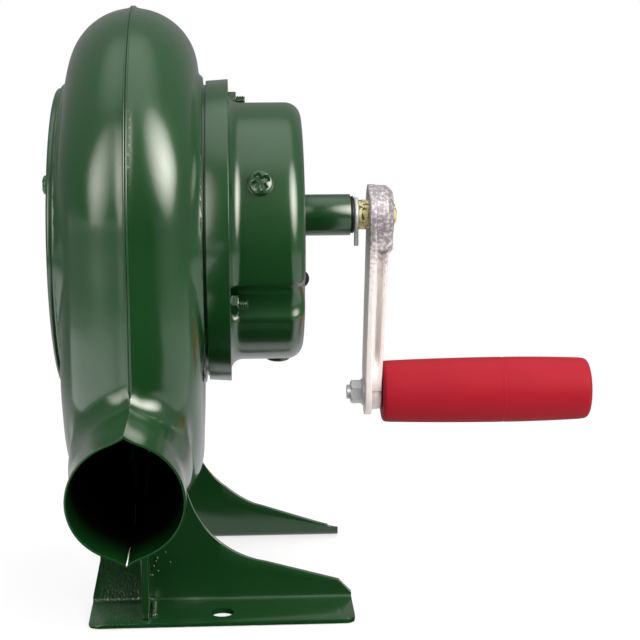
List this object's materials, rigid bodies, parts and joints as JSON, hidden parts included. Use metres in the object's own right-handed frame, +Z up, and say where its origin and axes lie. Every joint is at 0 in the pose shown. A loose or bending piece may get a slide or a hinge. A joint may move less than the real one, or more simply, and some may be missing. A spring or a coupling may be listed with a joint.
{
  "type": "hand crank blower",
  "caption": "Hand crank blower with a pressed snail housing on two feet, a geared fan, a round outlet pipe and a side crank with a turning grip.",
  "frame": {"origin": "midway between the two foot bolt holes, on the base plane", "axes": "+X along the fan shaft towards the crank, -Y the way the air leaves the outlet, +Z up"},
  "size_m": [0.2189, 0.2132, 0.2324],
  "materials": {
    "green_enamel": "gloss dark green enamel over pressed steel",
    "steel": "plain zinc plated steel",
    "dark_steel": "blackened steel",
    "yellow_zinc": "yellow passivated steel",
    "bronze": "plain bearing bronze",
    "cast_aluminium": "raw casting",
    "fan_sheet": "bare steel sheet",
    "red_plastic": "satin red moulding"
  },
  "bodies": {
    "housing": {"volute_left_half": "green_enamel", "volute_right_half": "green_enamel", "front_foot": "green_enamel", "rear_foot": "green_enamel", "outlet_gusset": "green_enamel", "inlet_cover": "green_enamel", "inlet_screws": "green_enamel", "gear_plate": "green_enamel", "gear_case": "green_enamel", "case_screws": "green_enamel", "plate_bolts": "green_enamel", "plate_nuts": "green_enamel", "crank_sleeve": "green_enamel", "crank_bush": "bronze", "bearing_tube": "steel", "fan_bush_inner": "bronze", "fan_bush_outer": "bronze", "idler_pin": "steel", "idler_pin_screw": "dark_steel", "idler_spacers": "steel"},
    "crank": {"crank_shaft": "yellow_zinc", "drive_gear": "steel", "drive_pin": "steel", "thrust_washer": "dark_steel", "shaft_clip": "steel", "crank_arm": "cast_aluminium", "arm_screw": "yellow_zinc", "grip_bolt": "steel", "grip_nut": "steel"},
    "idler": {"idler_gear": "steel", "idler_pinion": "steel"},
    "fan": {"fan_shaft": "steel", "fan_pinion": "steel", "impeller_hub": "steel", "impeller_disc": "fan_sheet", "impeller_blades": "fan_sheet", "impeller_rivets": "steel", "impeller_nut": "steel"},
    "grip": {"grip": "red_plastic"}
  },
  "joints": [
    {"name": "crank_spin", "type": "hinge", "parent": "housing", "child": "crank", "pos_m": [0.0437, 0.00899, 0.14754], "axis": [1, 0, 0], "continuous": true},
    {"name": "idler_spin", "type": "hinge", "parent": "housing", "child": "idler", "pos_m": [0.0177, -0.01667, 0.12524], "axis": [1, 0, 0], "continuous": true},
    {"name": "fan_spin", "type": "hinge", "parent": "housing", "child": "fan", "pos_m": [-0.0123, 0, 0.1425], "axis": [1, 0, 0], "continuous": true},
    {"name": "grip_spin", "type": "hinge", "parent": "crank", "child": "grip", "pos_m": [0.1077, 0.00899, 0.07304], "axis": [1, 0, 0], "continuous": true}
  ],
  "couplings": [
    {"joint": "idler_spin", "follows": "crank_spin", "ratio": -4.6667},
    {"joint": "fan_spin", "follows": "crank_spin", "ratio": 14}
  ]
}
